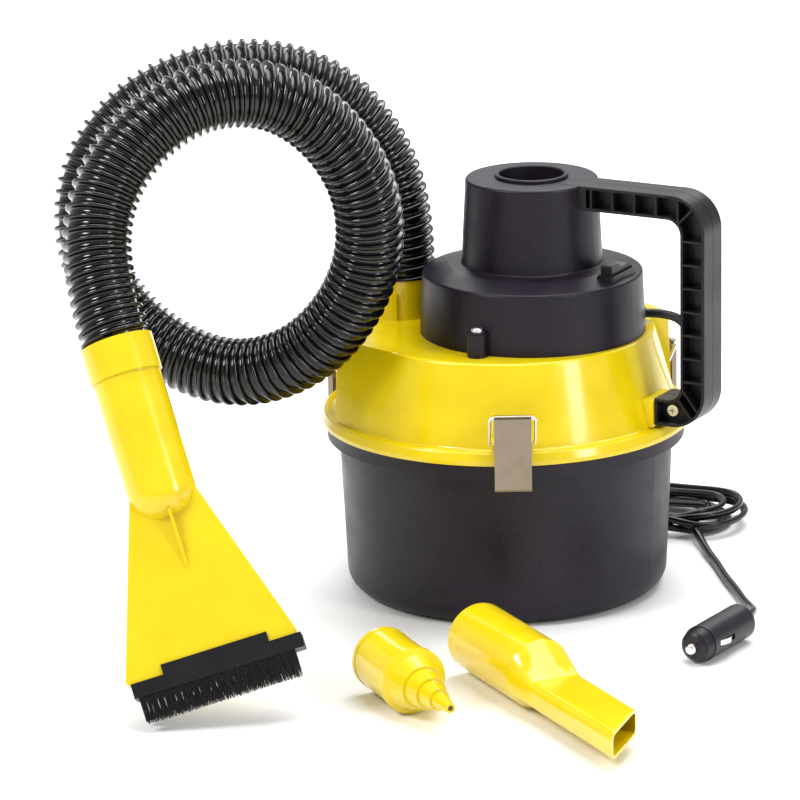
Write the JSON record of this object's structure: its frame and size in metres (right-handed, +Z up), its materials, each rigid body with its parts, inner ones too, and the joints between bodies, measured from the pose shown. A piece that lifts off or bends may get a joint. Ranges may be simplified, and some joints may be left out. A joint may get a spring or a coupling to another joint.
{
  "type": "canister vacuum",
  "caption": "Small 12 V wet/dry canister vacuum: clamped lid with motor tower and loop handle, ribbed hose with brush nozzle, loose crevice and inflator tools, and corded plug.",
  "frame": {"origin": "on the floor at the centre of the tank's flat base, on the tank's axis", "axes": "+Z up; +X from the tank's axis towards the carrying handle; +Y to the side away from the brush nozzle"},
  "size_m": [0.4484, 0.5226, 0.3431],
  "materials": {
    "black_plastic": "fine-grained satin moulding",
    "yellow_plastic": "glossy moulding",
    "handle_black": "satin moulding",
    "switch_black": "satin moulding",
    "seal_rubber": "soft rubber",
    "screw_steel": "zinc-plated",
    "latch_steel": "plated spring steel",
    "latch_chrome": "bright wire",
    "motor_steel": "plated can",
    "fan_aluminium": "pressed sheet",
    "inner_grey": "moulding",
    "filter_foam": "open-cell foam",
    "float_white": "moulding",
    "hose_black": "glossy flexible plastic",
    "bristle_black": "nylon bristle",
    "plug_black": "satin moulding",
    "contact_metal": "nickel-plated",
    "cord_black": "flexible sheath"
  },
  "bodies": {
    "vacuum": {"bristles_front": "bristle_black", "bristles_rear": "bristle_black", "brush_holder": "switch_black", "cord_gland": "seal_rubber", "cord_hank": "cord_black", "cover_screw_1": "screw_steel", "cover_screw_2": "screw_steel", "fan_housing": "inner_grey", "filter_band": "seal_rubber", "filter_cage": "inner_grey", "filter_sleeve": "filter_foam", "handle_front": "handle_black", "handle_rear": "handle_black", "handle_screw_1": "screw_steel", "handle_screw_2": "screw_steel", "hose": "hose_black", "hose_cuff": "hose_black", "inlet_duct": "inner_grey", "lid": "yellow_plastic", "lid_seal": "seal_rubber", "motor_can": "motor_steel", "motor_cover": "black_plastic", "nozzle_body": "yellow_plastic", "nozzle_collar": "yellow_plastic", "outlet_socket": "black_plastic", "partition": "inner_grey", "plug_body": "plug_black", "plug_cap": "plug_black", "plug_lead": "cord_black", "power_cord": "cord_black", "switch_housing": "switch_black", "tank": "black_plastic"},
    "rocker_switch": {"rocker": "switch_black"},
    "fan_rotor": {"armature": "motor_steel", "impeller": "fan_aluminium"},
    "float": {"float_cup": "float_white"},
    "plug_tip_body": {"plug_tip": "contact_metal"},
    "plug_contact_a": {"plug_contact_1": "contact_metal"},
    "plug_contact_b": {"plug_contact_2": "contact_metal"},
    "crevice_tool_body": {"crevice_tool": "yellow_plastic"},
    "inflator_nozzle_body": {"inflator_nozzle": "yellow_plastic"},
    "bail_1": {"latch_bail_1": "latch_chrome"},
    "plate_1": {"latch_plate_1": "latch_steel"},
    "bail_2": {"latch_bail_2": "latch_chrome"},
    "plate_2": {"latch_plate_2": "latch_steel"},
    "bail_3": {"latch_bail_3": "latch_chrome"},
    "plate_3": {"latch_plate_3": "latch_steel"}
  },
  "joints": [
    {"name": "bail_1_swing", "type": "hinge", "parent": "vacuum", "child": "bail_1", "pos_m": [0.05225, -0.0905, 0.114], "axis": [0.866, 0.5, 0], "range_deg": [0, 44]},
    {"name": "plate_1_swing", "type": "hinge", "parent": "bail_1", "child": "plate_1", "pos_m": [0.057, -0.09873, 0.1324], "axis": [-0.866, -0.5, 0], "range_deg": [0, 110]},
    {"name": "bail_2_swing", "type": "hinge", "parent": "vacuum", "child": "bail_2", "pos_m": [0.05225, 0.0905, 0.114], "axis": [-0.866, 0.5, 0], "range_deg": [0, 44]},
    {"name": "plate_2_swing", "type": "hinge", "parent": "bail_2", "child": "plate_2", "pos_m": [0.057, 0.09873, 0.1324], "axis": [0.866, -0.5, 0], "range_deg": [0, 110]},
    {"name": "bail_3_swing", "type": "hinge", "parent": "vacuum", "child": "bail_3", "pos_m": [-0.1045, 0, 0.114], "axis": [0, -1, 0], "range_deg": [0, 44]},
    {"name": "plate_3_swing", "type": "hinge", "parent": "bail_3", "child": "plate_3", "pos_m": [-0.114, 0, 0.1324], "axis": [0, 1, 0], "range_deg": [0, 110]},
    {"name": "rocker_turn", "type": "hinge", "parent": "vacuum", "child": "rocker_switch", "pos_m": [0.0745, 0, 0.196], "axis": [1, 0, 0], "range_deg": [0, 12]},
    {"name": "fan_spin", "type": "hinge", "parent": "vacuum", "child": "fan_rotor", "pos_m": [0.019, 0, 0.16], "axis": [0, 0, 1], "continuous": true},
    {"name": "float_rise", "type": "slide", "parent": "vacuum", "child": "float", "axis": [0, 0, 1], "range_m": [0, 0.018]},
    {"name": "plug_tip_press", "type": "slide", "parent": "vacuum", "child": "plug_tip_body", "axis": [0.0555, 0.9985, 0], "range_m": [0, 0.003], "stiffness_N_per_m": 400},
    {"name": "contact_1_press", "type": "slide", "parent": "vacuum", "child": "plug_contact_a", "axis": [-0.9985, 0.0555, 0], "range_m": [0, 0.0016], "stiffness_N_per_m": 300},
    {"name": "contact_2_press", "type": "slide", "parent": "vacuum", "child": "plug_contact_b", "axis": [0.9985, -0.0555, 0], "range_m": [0, 0.0016], "stiffness_N_per_m": 300},
    {"name": "crevice_lift", "type": "slide", "parent": "vacuum", "child": "crevice_tool_body", "axis": [0, 0, 1], "range_m": [0, 0.04]},
    {"name": "inflator_lift", "type": "slide", "parent": "vacuum", "child": "inflator_nozzle_body", "axis": [0, 0, 1], "range_m": [0, 0.04]}
  ],
  "couplings": [
    {"joint": "bail_1_swing", "follows": "plate_1_swing", "ratio": 0.4},
    {"joint": "bail_2_swing", "follows": "plate_2_swing", "ratio": 0.4},
    {"joint": "bail_3_swing", "follows": "plate_3_swing", "ratio": 0.4}
  ]
}
